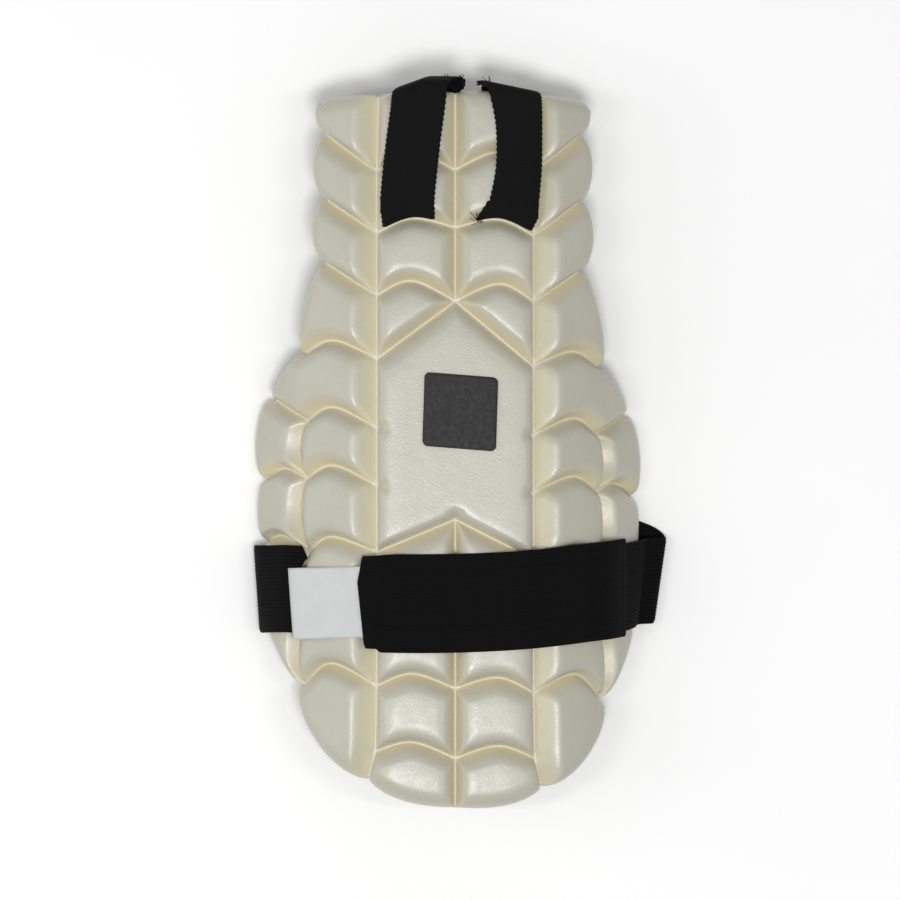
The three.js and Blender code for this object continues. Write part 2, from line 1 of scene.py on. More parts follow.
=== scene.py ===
import math

import bpy
import numpy as np
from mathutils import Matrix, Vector
from mathutils.geometry import delaunay_2d_cdt


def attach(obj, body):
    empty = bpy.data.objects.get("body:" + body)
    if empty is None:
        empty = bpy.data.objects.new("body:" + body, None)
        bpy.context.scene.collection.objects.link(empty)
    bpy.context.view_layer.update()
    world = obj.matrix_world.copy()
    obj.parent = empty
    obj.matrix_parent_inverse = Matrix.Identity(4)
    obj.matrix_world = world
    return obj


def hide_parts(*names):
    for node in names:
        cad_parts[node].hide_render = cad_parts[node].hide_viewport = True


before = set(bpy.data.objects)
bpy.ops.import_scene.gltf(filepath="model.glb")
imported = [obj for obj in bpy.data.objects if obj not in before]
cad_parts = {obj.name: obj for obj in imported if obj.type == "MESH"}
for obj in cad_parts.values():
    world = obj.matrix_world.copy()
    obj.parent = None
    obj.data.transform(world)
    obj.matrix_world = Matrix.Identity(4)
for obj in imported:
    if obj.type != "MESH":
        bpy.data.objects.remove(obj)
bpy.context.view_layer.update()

MM = 0.001

# Sizes in millimetres, as in the solids
PAD_LENGTH = 312
HALF_WIDTH = 83.7
NARROW_END_Y = 156.5
FOAM_AT_GROOVES = 8
FOAM_AT_RIM = 2.6
BLOCK_RELIEF = 7.4
PANEL_RELIEF = 6.7
REST_DROP = 42.45
CLEARANCE = 0.3
ELASTIC_WIDTH = 38
ELASTIC_THICKNESS = 1.6
TAB_WIDTH = 42.8
TAB_THICKNESS = 1.6
WEBBING_THICKNESS = 1.7
LABEL_SIDE = 30.8
LABEL_THICKNESS = 0.45
BADGE_SIDE = 32
BADGE_CORNER = 2.4
LEAN = 0.046
LEAN_STARTS = 0.1
LEAN_FULL = 0.36
DIP_DEPTH = 1.3
DIP_MIDDLE_DOWN = 0.444
DIP_REACH = 44
DIP_FROM_ACROSS = 0.62

# The frame's origin lies at this place of the millimetre layout
ORIGIN = np.array([5.2614, 4.213, 0.0])

# Steepness of the gutter at each distance along its skin
STEEPNESS = [(0, 0), (22, 0), (30, 4), (38, 24), (62, 32), (70, 50), (114, 58)]

# Named places: share of the half width, share of the length
PLACES = {
    "C0": (0, 0.006), "C1": (0, 0.113), "C2": (0, 0.193), "C3": (0, 0.295), "C4": (0, 0.598),
    "C5": (0, 0.739), "C6": (0, 0.833), "C7": (0, 0.93), "C8": (0, 0.998),
    "H0": (0.394, 0.011), "H1": (0.404, 0.115), "H2": (0.404, 0.202), "H3": (0.404, 0.291),
    "H4": (0.404, 0.38), "H5": (0.404, 0.476), "H6": (0.404, 0.556), "H7": (0.404, 0.648),
    "H8": (0.404, 0.739), "H9": (0.404, 0.834), "H10": (0.409, 0.925), "H11": (0.442, 0.962),
    "K5": (0.744, 0.47), "K6": (0.749, 0.551), "K7": (0.738, 0.653), "K8": (0.741, 0.734),
    "N0": (0.686, 0.019), "N1": (0.653, 0.063), "N2": (0.653, 0.154), "N3": (0.658, 0.246),
    "N4": (0.758, 0.378), "N5": (0.902, 0.442), "N6": (0.938, 0.556), "N7": (0.938, 0.641),
    "N8": (0.928, 0.733), "N9": (0.762, 0.839),
}
STRAIGHT = [
    ("C0", "C1"), ("C1", "C2"), ("C2", "C3"), ("C4", "C5"), ("C5", "C6"), ("C6", "C7"), ("C7", "C8"),
    ("H0", "H1"), ("H1", "H2"), ("H2", "H3"), ("H3", "H4"), ("H4", "H5"), ("H5", "H6"), ("H6", "H7"),
    ("H7", "H8"), ("H8", "H9"), ("H9", "H10"), ("H10", "H11"),
    ("C3", "H4"), ("C4", "H7"), ("H1", "N1"), ("H2", "N2"), ("H3", "N3"), ("K5", "N5"),
]
PEAKED = [
    ("C1", "H1", 0.223, 0.088), ("C2", "H2", 0.223, 0.181), ("C3", "H3", 0.228, 0.269),
    ("C5", "H8", 0.223, 0.718), ("C6", "H9", 0.223, 0.815), ("C7", "H10", 0.223, 0.91),
    ("H4", "N4", 0.62, 0.357), ("H5", "K5", 0.62, 0.45), ("H6", "K6", 0.62, 0.531),
    ("H7", "K7", 0.63, 0.63), ("H8", "K8", 0.63, 0.716), ("H9", "N9", 0.63, 0.806),
    ("K6", "N6", 0.858, 0.538), ("K7", "N7", 0.86, 0.632), ("K8", "N8", 0.845, 0.716),
]
BOWED = [("K5", "K6", 0.03), ("K6", "K7", 0.03), ("K7", "K8", 0.02), ("K8", "N9", 0.03)]
SCALLOPS = [
    ("C0", "H0", 0.022), ("H0", "N0", 0.02), ("N0", "N1", 0.036), ("N1", "N2", 0.07), ("N2", "N3", 0.073),
    ("N3", "N4", 0.052), ("N4", "N5", 0.036), ("N5", "N6", 0.087), ("N6", "N7", 0.042),
    ("N7", "N8", 0.015), ("N8", "N9", 0.05), ("N9", "H11", 0.118), ("H11", "C8", 0.055, 1),
]
SCALLOP_FULLNESS = 0.62
PEAK_SHARPNESS = 2.5
BLOCKS = [
    ["C0", "H0", "H1", "C1"], ["C1", "H1", "H2", "C2"], ["C2", "H2", "H3", "C3"], ["C3", "H3", "H4"],
    ["C4", "H7", "H8", "C5"], ["C5", "H8", "H9", "C6"], ["C6", "H9", "H10", "C7"],
    ["C7", "H10", "H11", "C8"],
    ["H0", "N0", "N1", "H1"], ["H1", "N1", "N2", "H2"], ["H2", "N2", "N3", "H3"], ["H3", "N3", "N4", "H4"],
    ["H4", "N4", "N5", "K5", "H5"], ["H5", "K5", "K6", "H6"], ["H6", "K6", "K7", "H7"],
    ["H7", "K7", "K8", "H8"], ["H8", "K8", "N9", "H9"], ["H9", "N9", "H11", "H10"],
    ["K5", "N5", "N6", "K6"], ["K6", "N6", "N7", "K7"], ["K7", "N7", "N8", "K8"], ["K8", "N8", "N9"],
]
PANEL = ["C3", "H4", "H5", "H6", "H7", "C4", "-H7", "-H6", "-H5", "-H4"]
PANEL_MIDDLE_DOWN = 0.47
BLOCK_CROWN = 0.5

# Mesh spacing: along the lines, inside a block, the rows beside its edge, and on the back
LINE_STEP = 0.9
SPACING = 1.05
EDGE_RINGS = (0.45, 1.0)
BACK_STEP = 4.0
BACK_RINGS = (2.0,)
BACK_TAPER = 8

# Kinds of side: reach and roundness of the bevel, and how far and how strongly the yellow shows; the yellow is
# a painted glow of warm bounce light in the groove.
# A power of 0 is a flat chamfer; rows with _narrow belong to the narrow end, the others to the wide end
SIDES = {
    "centre": dict(reach=6.0, power=2.0, root=1.3, yellow=2.3, strong=0.75),
    "centre_narrow": dict(reach=8.0, power=2.0, root=1.3, yellow=2.8, strong=0.75),
    "hinge_inner": dict(reach=3.6, power=2.0, root=1.4, yellow=0.9, strong=0.35),
    "hinge_outer": dict(reach=9.4, power=0, root=1, yellow=5.5, strong=0.6),
    "node_inner": dict(reach=6.5, power=2.0, root=1.4, yellow=1.8, strong=0.4),
    "node_outer": dict(reach=5.5, power=0, root=1, yellow=3.0, strong=0.6),
    "upper": dict(reach=8.6, power=1.9, root=1.15, yellow=2.6, strong=0.95),
    "upper_narrow": dict(reach=7.6, power=1.9, root=1.2, yellow=1.2, strong=0.25),
    "lower": dict(reach=4.0, power=1.8, root=1.3, yellow=1.2, strong=0.25),
    "lower_narrow": dict(reach=5.4, power=1.6, root=1.15, yellow=2.9, strong=1.0),
    "rim": dict(reach=9.0, power=2.2, root=2.3, yellow=0.5, strong=0.0),
}

# How sharply two bevels meet, how soft the crest is, and how far a corner is rounded
SOFTNESS = 16
SHOULDER = 7.5
CORNER_ROUND = 6.5
GROOVE_LEDGE = 0.35
# How far the painted light on a groove floor and at a crossing reaches, and how far the painted glow turns
# paler at a crossing
GROOVE_FLOOR_REACH = 1.3
CROSSING_FLOOR_REACH = 2.1
CROSSING_PALE_REACH = 3.2


def mix(a, b, t):
    return a + (b - a) * t


def smooth(lo, hi, v):
    t = np.clip((np.asarray(v, dtype=float) - lo) / (hi - lo), 0, 1)
    return t * t * (3 - 2 * t)


# Section of the gutter, stepped along its skin
STEP = 0.25
ALONG = np.arange(0, 114 + STEP, STEP)
SLOPE = np.radians(np.interp(ALONG, [r[0] for r in STEEPNESS], [r[1] for r in STEEPNESS]))
MID = (SLOPE[1:] + SLOPE[:-1]) / 2
OUT = np.concatenate([[0], np.cumsum(np.cos(MID)) * STEP])
FALL = np.concatenate([[0], np.cumsum(np.sin(MID)) * STEP])


def along_for(out):
    return np.sign(out) * np.interp(np.abs(out), OUT, ALONG)


def along_under(out, h):
    return np.sign(out) * np.interp(np.abs(out), OUT + h * np.sin(SLOPE), ALONG)


def y_at(down):
    return NARROW_END_Y - PAD_LENGTH * down


def racked(x, y, z):
    share = smooth(LEAN_STARTS, LEAN_FULL, (NARROW_END_Y - y) / PAD_LENGTH)
    return np.stack(np.broadcast_arrays(x, y - LEAN * share * x, z), axis=-1)


def skin(along, y, h):
    along = np.asarray(along, dtype=float)
    y = np.asarray(y, dtype=float)
    reach = np.abs(along)
    side = np.where(along < 0, -1.0, 1.0)
    slope = np.interp(reach, ALONG, SLOPE)
    out = np.interp(reach, ALONG, OUT) + h * np.sin(slope)
    near = np.clip(1 - np.abs(y - y_at(DIP_MIDDLE_DOWN)) / DIP_REACH, 0, 1)
    dip = DIP_DEPTH * smooth(0, 1, near) * smooth(DIP_FROM_ACROSS * HALF_WIDTH, HALF_WIDTH, reach)
    z = REST_DROP - np.interp(reach, ALONG, FALL) - dip + h * np.cos(slope)
    return racked(side * out, y, z)


def metres(points):
    return (np.asarray(points) - ORIGIN) * MM


def link(obj):
    bpy.context.scene.collection.objects.link(obj)
    return obj


def mesh_object(name, points, faces):
    mesh = bpy.data.meshes.new(name)
    mesh.from_pydata(metres(points).tolist(), [], faces)
    mesh.validate()
    mesh.update()
    mesh.shade_smooth()
    return link(bpy.data.objects.new(name, mesh))


# The lines of the pad, sampled once, so that neighbouring blocks meet in the same points
def mirrored(name):
    if name.startswith("C"):
        return name
    return name[1:] if name.startswith("-") else "-" + name


def flat(name):
    side = -1 if name.startswith("-") else 1
    across, down = PLACES[name.lstrip("-")]
    return np.array([float(along_for(side * across * HALF_WIDTH)), y_at(down)])


class Net:
    def __init__(self):
        self.points = []
        self.on_rim = []
        self.corner = {}
        self.lines = {}
        self.rims = set()

    def add(self, point, on_rim):
        self.points.append(point)
        self.on_rim.append(on_rim)
        return len(self.points) - 1

    def lay(self, a, b, shape, on_rim):
        start, end = self.points[self.corner[a]], self.points[self.corner[b]]
        count = max(4, int(round(np.linalg.norm(end - start) * 1.12 / LINE_STEP)))
        run = [self.corner[a]]
        run += [self.add(shape(start, end, i / count), on_rim) for i in range(1, count)]
        run.append(self.corner[b])
        self.lines[(a, b)] = run
        self.lines[(b, a)] = run[::-1]
        if on_rim:
            self.rims |= {(a, b), (b, a)}

    def lay_both(self, a, b, shape_for, on_rim=False):
        self.lay(a, b, shape_for(1), on_rim)
        if (mirrored(a), mirrored(b)) != (a, b):
            self.lay(mirrored(a), mirrored(b), shape_for(-1), on_rim)


def straight_shape(side):
    return lambda a, b, t: mix(a, b, t)


def peaked_shape(across, down):
    def for_side(side):
        peak = np.array([float(along_for(side * across * HALF_WIDTH)), y_at(down)])

        def shape(a, b, t):
            lift = ((2 + 2 * PEAK_SHARPNESS) * peak - a - b) / (2 * PEAK_SHARPNESS)
            pull = 2 * PEAK_SHARPNESS * t * (1 - t)
            return ((1 - t) ** 2 * a + pull * lift + t * t * b) / ((1 - t) ** 2 + pull + t * t)
        return shape
    return for_side


def bowed_shape(bulge, fullness, fades=None):
    def for_side(side):
        def shape(a, b, t):
            run = b - a
            outward = np.array([-run[1], run[0]]) / np.linalg.norm(run) * side
            swell = (2 * t) ** fullness * (2 - 2 * t) ** (fades or fullness)
            return mix(a, b, t) + outward * bulge * HALF_WIDTH * swell
        return shape
    return for_side


net = Net()
rim_names = {n for row in SCALLOPS for n in row[:2]}
for place in PLACES:
    net.corner[place] = net.add(flat(place), place in rim_names)
    if not place.startswith("C"):
        net.corner["-" + place] = net.add(flat("-" + place), place in rim_names)
for a, b in STRAIGHT:
    net.lay_both(a, b, straight_shape)
for a, b, across, down in PEAKED:
    net.lay_both(a, b, peaked_shape(across, down))
for a, b, bulge in BOWED:
    net.lay_both(a, b, bowed_shape(bulge, 1))
for a, b, bulge, *fades in SCALLOPS:
    net.lay_both(a, b, bowed_shape(bulge, SCALLOP_FULLNESS, *fades), True)


def distance_to_line(points, line):
    a, b = line[:-1], line[1:]
    run = b - a
    length2 = np.maximum((run ** 2).sum(1), 1e-9)
    rel = points[:, None, :] - a[None]
    t = np.clip((rel * run[None]).sum(2) / length2[None], 0, 1)
    near = a[None] + t[..., None] * run[None]
    return np.sqrt(((points[:, None, :] - near) ** 2).sum(2)).min(1)


BOWED_ENDS = [{a, b} for a, b, _ in BOWED]
SLANTED_ENDS = [{"H1", "N1"}, {"H2", "N2"}, {"H3", "N3"}]
NARROW_FROM_Y = -25
HINGE_BLOCK_OUT = 36
NODE_BLOCK_OUT = 66


def side_kind(a, b, middle, block_middle):
    if (a, b) in net.rims:
        return "rim"
    ends = {a.lstrip("-"), b.lstrip("-")}
    columns = {end[0] for end in ends}
    block_out = abs(block_middle[0])
    narrow = "_narrow" if middle[1] > NARROW_FROM_Y else ""
    if columns == {"C"}:
        return "centre" + narrow
    if columns == {"H"}:
        return "hinge_outer" if block_out > HINGE_BLOCK_OUT else "hinge_inner"
    if ends in BOWED_ENDS:
        return "node_outer" if block_out > NODE_BLOCK_OUT else "node_inner"
    above = "upper" if middle[1] > block_middle[1] else "lower"
    return above if ends in SLANTED_ENDS else above + narrow


def rise(kind, d):
    spec = SIDES[kind]
    share = d / spec["reach"]
    if not spec["power"]:
        return share
    near = np.clip(share, 0, 1)
    dome = (1 - (1 - near) ** spec["power"]) ** (1 / spec["root"])
    return dome + 0.3 * np.maximum(share - 1, 0)


def fill_points(edge, rings, spacing):
    """Points inside a closed line: rows beside the line, then an even grid."""
    closed = np.concatenate([edge, edge[:1]])
    tangent = np.roll(edge, -1, 0) - np.roll(edge, 1, 0)
    area = np.sum(edge[:, 0] * np.roll(edge[:, 1], -1) - edge[:, 1] * np.roll(edge[:, 0], -1))
    inward = np.stack([-tangent[:, 1], tangent[:, 0]], 1) * (1 if area > 0 else -1)
    inward /= np.linalg.norm(inward, axis=1, keepdims=True)
    found = []
    for ring in rings:
        spots = edge + inward * ring
        found.append(spots[distance_to_line(spots, closed) > 0.85 * ring])
    lo, hi = edge.min(0), edge.max(0)
    ys = np.arange(lo[1], hi[1], spacing * 0.866)
    xs = np.arange(lo[0], hi[0] + spacing, spacing)
    grid = np.stack(np.meshgrid(xs, ys), -1)
    grid[1::2, :, 0] += spacing / 2
    spots = grid.reshape(-1, 2)
    a, b = edge, np.roll(edge, -1, 0)
    cross = (a[None, :, 1] > spots[:, None, 1]) != (b[None, :, 1] > spots[:, None, 1])
    gap = b[:, 1] - a[:, 1]
    gap[gap == 0] = 1e-9
    at = a[:, 0] + (spots[:, None, 1] - a[:, 1]) * (b[:, 0] - a[:, 0]) / gap
    inside = (cross & (spots[:, None, 0] < at)).sum(1) % 2 == 1
    spots = spots[inside]
    found.append(spots[distance_to_line(spots, closed) > rings[-1] + 0.5 * spacing])
    return np.concatenate(found)


def triangles(edge, extra):
    """Faces over the edge loop (numbered first) and the extra points, facing up."""
    every = [Vector(p) for p in np.concatenate([edge, extra])]
    out = delaunay_2d_cdt(every, [], [list(range(len(edge)))], 1, 1e-6)
    source = [min(ids) for ids in out[3]]
    faces = []
    for a, b, c in out[2]:
        pa, pb, pc = out[0][a], out[0][b], out[0][c]
        turn = (pb.x - pa.x) * (pc.y - pa.y) - (pb.y - pa.y) * (pc.x - pa.x)
        face = (source[a], source[b], source[c])
        faces.append(face if turn > 0 else face[::-1])
    return faces


def build_pad():
    flats = np.array(net.points)
    rim = np.array(net.on_rim)
    count = len(flats)
    rim_line = np.concatenate([[net.points[i] for i in net.lines[pair]] for pair in sorted(net.rims)])

    def back_depth(places):
        near_rim = np.sqrt(((places[:, None, :] - rim_line[None]) ** 2).sum(2)).min(1)
        return mix(-FOAM_AT_RIM, -FOAM_AT_GROOVES, smooth(0, BACK_TAPER, near_rim))

    points = [skin(flats[:, 0], flats[:, 1], 0.0), skin(flats[:, 0], flats[:, 1], back_depth(flats))]
    # Painted light per point: the warm glow and the pale groove-floor line, full on the groove lines, weaker or
    # none on the rim, none on the back
    yellow = [np.where(rim, 0.3, 1.0), np.zeros(count)]
    floor = [np.where(rim, 0.0, 1.0), np.zeros(count)]
    total = 2 * count
    faces = []

    def block(names, relief, crown):
        nonlocal total
        pairs = [(names[i], names[(i + 1) % len(names)]) for i in range(len(names))]
        runs = [net.lines[p] for p in pairs]
        loop = [i for run in runs for i in run[:-1]]
        edge = flats[loop]
        middle = edge.mean(0)
        if names is PANEL:
            middle = np.array([0.0, y_at(PANEL_MIDDLE_DOWN)])
        extra = fill_points(edge, EDGE_RINGS, SPACING)
        soft = np.exp(-SOFTNESS * np.ones(len(extra)))
        painted_glow = np.zeros(len(extra))
        low = np.zeros(len(extra))
        for (a, b), run in zip(pairs, runs):
            kind = side_kind(a, b, flats[run].mean(0), middle)
            spec = SIDES[kind]
            ledge = 0 if kind == "rim" else GROOVE_LEDGE
            d = np.maximum(distance_to_line(extra, flats[run]) - ledge, 0)
            soft += np.exp(-SOFTNESS * rise(kind, d))
            # Painted glow near each side, standing in for warm bounce light in the groove
            painted_glow = np.maximum(painted_glow, spec["strong"] * np.exp(-(d / spec["yellow"]) ** 2))
            # Painted light along the groove floor, lifting the groove's shade
            low = np.maximum(low, np.exp(-(d / GROOVE_FLOOR_REACH) ** 1.5))
        corners = flats[[run[0] for run in runs]]
        apart = np.sqrt(((extra[:, None, :] - corners[None]) ** 2).sum(2)).min(1)
        near = np.clip((apart - 0.8) / CORNER_ROUND, 0, 1)
        soft += np.exp(-SOFTNESS * (1.1 * (1 - (1 - near) ** 2) ** 0.8))
        # At the crossings the painted floor light spreads wider and the painted glow turns paler
        low = np.maximum(low, np.exp(-(apart / CROSSING_FLOOR_REACH) ** 2))
        painted_glow *= 1 - 0.7 * np.exp(-(apart / CROSSING_PALE_REACH) ** 2)
        raw = np.maximum(-np.log(soft) / SOFTNESS, 0)
        lift = raw - np.log1p(np.exp(SHOULDER * (raw - 1))) / SHOULDER
        lift = np.clip(lift, 0, 1)
        away = distance_to_line(extra, np.concatenate([edge, edge[:1]]))
        height = relief * lift + crown * smooth(0, 0.6 * away.max(), away)
        points.append(skin(extra[:, 0], extra[:, 1], height))
        yellow.append(painted_glow)
        floor.append(low)
        ids = np.array(loop + list(range(total, total + len(extra))))
        total += len(extra)
        faces.extend(tuple(ids[list(f)].tolist()) for f in triangles(edge, extra))

        extra = fill_points(edge, BACK_RINGS, BACK_STEP)
        points.append(skin(extra[:, 0], extra[:, 1], back_depth(extra)))
        yellow.append(np.zeros(len(extra)))
        floor.append(np.zeros(len(extra)))
        ids = np.array([i + count for i in loop] + list(range(total, total + len(extra))))
        total += len(extra)
        faces.extend(tuple(ids[list(f)][::-1].tolist()) for f in triangles(edge, extra))

    for names in BLOCKS:
        block(names, BLOCK_RELIEF, BLOCK_CROWN)
        block([mirrored(n) for n in names[::-1]], BLOCK_RELIEF, BLOCK_CROWN)
    block(PANEL, PANEL_RELIEF, 0.0)

    for a, b, *_ in SCALLOPS:
        for pair in ((a, b), (mirrored(b), mirrored(a))):
            run = net.lines[pair]
            for i, j in zip(run, run[1:]):
                faces.append((i, j, j + count, i + count))

    obj = mesh_object("pad_body", np.concatenate(points), faces)
    # Both painted light masks go to the shader as point attributes
    for name, values in (("painted_groove_glow", yellow), ("painted_groove_floor_light", floor)):
        layer = obj.data.attributes.new(name, "FLOAT", "POINT")
        layer.data.foreach_set("value", np.concatenate(values).astype(np.float32))
    print("pad", len(obj.data.vertices), "vertices", len(faces), "faces")
    return obj


# Strips of cloth follow a line of stops; each column across the width runs along its own copy of it
THREAD_RADIUS = 0.14
THIRD_TURN = 2.094
EDGE_ROUND_REACH = 0.8


def spline(values, steps):
    values = np.asarray(values, dtype=float)
    padded = np.concatenate([[2 * values[0] - values[1]], values, [2 * values[-1] - values[-2]]])
    rows = []
    for i in range(len(values) - 1):
        p0, p1, p2, p3 = padded[i:i + 4]
        count = steps[i]
        for k in range(count):
            t = k / count
            rows.append(0.5 * ((2 * p1) + (p2 - p0) * t + (2 * p0 - 5 * p1 + 4 * p2 - p3) * t * t
                               + (3 * p1 - p0 - 3 * p2 + p3) * t ** 3))
    rows.append(values[-1])
    return np.array(rows)


def strip_object(name, grid, thickness, rib_pitch, rib_height, width, edge_round=0.35,
                 dents=None, threads=(), lump=None):
    """A cloth strip round its middle surface, given as rows x columns x 3."""
    along = np.gradient(grid, axis=0)
    across = np.gradient(grid, axis=1)
    normal = np.cross(along, across)
    normal /= np.linalg.norm(normal, axis=2, keepdims=True)
    rows, columns = grid.shape[:2]
    share = np.linspace(0, 1, columns)
    half = np.full(columns, thickness / 2)
    from_edge = np.minimum(share, 1 - share) * width
    half = half - edge_round * thickness * np.exp(-(from_edge / EDGE_ROUND_REACH) ** 2)
    rib = np.zeros(columns)
    if rib_pitch:
        rib = rib_height * np.abs(np.sin(np.pi * share * width / rib_pitch))
    run = np.concatenate([[0], np.cumsum(np.linalg.norm(np.diff(grid.mean(1), axis=0), axis=1))])
    across_mm = share * width
    pressed = dents(run[:, None], across_mm[None]) if dents else np.zeros((rows, columns))
    top = grid + normal * ((half + rib - rib_height / 2)[None] - pressed)[..., None]
    bottom = grid - normal * (half + rib - rib_height / 2)[None, :, None]
    points = np.concatenate([top.reshape(-1, 3), bottom.reshape(-1, 3)])
    base = rows * columns
    index = np.arange(base).reshape(rows, columns)
    a, b, c, d = index[:-1, :-1], index[1:, :-1], index[1:, 1:], index[:-1, 1:]
    faces = np.stack([a, b, c, d], axis=-1).reshape(-1, 4).tolist()
    faces += (np.stack([a, d, c, b], axis=-1).reshape(-1, 4) + base).tolist()
    for r in range(rows - 1):
        faces.append((index[r, 0], index[r, 0] + base, index[r + 1, 0] + base, index[r + 1, 0]))
        e = columns - 1
        faces.append((index[r, e], index[r + 1, e], index[r + 1, e] + base, index[r, e] + base))
    e = rows - 1
    for c in range(columns - 1):
        faces.append((index[0, c], index[0, c + 1], index[0, c + 1] + base, index[0, c] + base))
        faces.append((index[e, c], index[e, c] + base, index[e, c + 1] + base, index[e, c + 1]))
    added = 0
    for path in threads:
        first = len(points)
        turns = [k * THIRD_TURN for k in range(3)]
        sides = [np.array([math.cos(t), math.sin(t), 0.4 * k]) * THREAD_RADIUS for k, t in enumerate(turns)]
        points = np.concatenate([points, *[[spot + side for side in sides] for spot in path]])
        for k in range(len(path) - 1):
            for j in range(3):
                p, q = first + 3 * k + j, first + 3 * k + (j + 1) % 3
                faces.append((p, q, q + 3, p + 3))
        end = first + 3 * (len(path) - 1)
        faces += [(first, first + 2, first + 1), (end, end + 1, end + 2)]
        added += 3 * len(path)
    if lump:
        ball, ball_faces = folded_lump(np.array(lump))
        faces += (ball_faces + len(points)).tolist()
        points = np.concatenate([points, ball])
        added += len(ball)
    obj = mesh_object(name, points, faces)
    for key, values in (
        ("strip_u", np.concatenate([np.tile(np.repeat(run, columns), 2), np.zeros(added)])),
        ("strip_v", np.concatenate([np.tile(np.tile(across_mm, rows), 2), np.zeros(added)])),
    ):
        layer = obj.data.attributes.new(key, "FLOAT", "POINT")
        layer.data.foreach_set("value", values.astype(np.float32))
    return obj, float(run[-1])


# Heights of the middle of each cloth over the skin of the pad
OVER_BLOCKS = 7.2 + CLEARANCE
ELASTIC_H = OVER_BLOCKS + ELASTIC_THICKNESS / 2
TAB_LOW = OVER_BLOCKS + TAB_THICKNESS / 2
TAB_OVER_LABEL = TAB_LOW + 0.9
TAB_HIGH = OVER_BLOCKS + ELASTIC_THICKNESS + CLEARANCE + TAB_THICKNESS / 2
LABEL_H = OVER_BLOCKS + ELASTIC_THICKNESS + CLEARANCE + LABEL_THICKNESS / 2
FLOOR_H = ELASTIC_THICKNESS / 2

# Elastic: x, height above the floor, middle of the width, slant of the turn over the width
REAR_PATH = [
    (-83.2, 6.8, -64.4, -0.07), (-82.3, 2.8, -64.4, -0.06), (-78.8, FLOOR_H, -64.2, -0.03),
    (-60, FLOOR_H, -61.6, 0), (-30, FLOOR_H, -58, 0), (0, FLOOR_H, -54.4, 0),
    (30, FLOOR_H, -50.9, 0), (60, FLOOR_H, -47.4, 0),
    (78, FLOOR_H, -45.3, 0), (87.4, FLOOR_H + 0.2, -47.7, 0.08), (91.1, 2.4, -50.4, 0.14),
    (92.4, 5.4, -52.2, 0.14), (91.8, 9.2, -52.9, 0.14),
]
GROOVE_ALONG = -float(along_for(PLACES["K8"][0] * HALF_WIDTH))
LEFT_FRONT = [
    (GROOVE_ALONG + 1.6, 4.4, -63.6, 0), (GROOVE_ALONG - 2, 6.6, -63.6, 0),
    (GROOVE_ALONG - 6.5, ELASTIC_H, -63.6, 0), (-80, ELASTIC_H + 0.2, -64, 0),
    (-85.8, ELASTIC_H - 0.1, -64.3, -0.04), (-90.1, ELASTIC_H - 1.1, -64.4, -0.06),
]
RIGHT_FRONT = [
    (93.6, ELASTIC_H - 1, -53.6, 0.12), (87, ELASTIC_H, -54.7, 0.05), (80, ELASTIC_H, -56, 0),
    (75, ELASTIC_H, -56.7, 0), (71.6, ELASTIC_H, -57.2, 0),
]


def section_point(along, h):
    reach = abs(along)
    slope = np.interp(reach, ALONG, SLOPE)
    out = np.interp(reach, ALONG, OUT) + h * math.sin(slope)
    return math.copysign(out, along), REST_DROP - np.interp(reach, ALONG, FALL) + h * math.cos(slope)


def build_elastic():
    stops = [(*section_point(a, h), y, skew) for a, h, y, skew in LEFT_FRONT]
    stops += REAR_PATH
    stops += [(*section_point(a, h), y, skew) for a, h, y, skew in RIGHT_FRONT]
    stops = np.array(stops)
    gaps = np.linalg.norm(np.diff(stops[:, :2], axis=0), axis=1)
    steps = [max(2, int(round(g / 1.8))) for g in gaps]
    line = spline(stops, steps)
    line[:, 1] = np.maximum(line[:, 1], FLOOR_H)
    columns = 145
    offsets = np.linspace(ELASTIC_WIDTH / 2, -ELASTIC_WIDTH / 2, columns)
    out = line[:, None, 0] + line[:, None, 3] * offsets[None]
    cut = np.interp(offsets, [-19, 9, 14, 19], [-3.6, -3.6, 0, -2.4])
    tucked = np.clip(1 - np.arange(len(line)) / steps[0], 0, 1)
    out = out + tucked[:, None] * cut[None]
    grid = racked(out, line[:, None, 2] + offsets[None], line[:, None, 1])
    return strip_object("elastic_band", grid, ELASTIC_THICKNESS - 0.1, 1.6, 0.2, ELASTIC_WIDTH)


TAB_SPAN = 122.0
STITCH_LENGTH = 3.1
STITCH_DEPTH = 0.26


def stitch_line(along, across, middle):
    """A line of sewing pressed into the cloth, with the thread showing between the holes."""
    stitches = 0.45 + 0.55 * np.cos(2 * math.pi * along / STITCH_LENGTH) ** 2
    return STITCH_DEPTH * np.exp(-((across - middle) / 0.55) ** 2) * stitches


def tab_dents(u, v):
    from_left = TAB_SPAN - u
    rows = stitch_line(u, v, 7.0) + stitch_line(u, v, TAB_WIDTH - 12.0)
    ends = stitch_line(v, from_left, 3.4) + stitch_line(v, from_left, 7.2) + 2 * stitch_line(v, u, 3.0)
    return rows + ends


def build_tab():
    left, right, left_y, right_y, count = -42.2, 75.5, -67.8, -56.4, 150
    columns = 214
    offsets = np.linspace(TAB_WIDTH / 2, -TAB_WIDTH / 2, columns)
    bulge = np.interp(offsets, [-21.4, -18.5, 9, 20, 21.4], [2.4, 1.7, -0.9, 0.9, 1.3])
    rows = []
    for i in range(count + 1):
        t = i / count
        out = mix(right, left, t)
        edge = out + bulge * smooth(left + 11, left, out)
        along = along_under(edge, TAB_HIGH)
        h = mix(TAB_LOW, TAB_HIGH, smooth(56, 66, along))
        h = h + smooth(-26, -36, edge) * (TAB_OVER_LABEL - TAB_LOW)
        lower_hem = 1 - 0.07 * smooth(-33.2, -35.6, edge)
        upper_hem = 1 - 0.06 * smooth(-24, -42, edge)
        hem = np.where(offsets < 0, lower_hem, upper_hem)
        middle = mix(right_y, left_y, 1 - (1 - t) ** 2)
        rows.append(skin(along, middle + offsets * hem, h))
    return strip_object("front_tab", np.array(rows), TAB_THICKNESS - 0.1, 1.0, 0.12, TAB_WIDTH, dents=tab_dents)


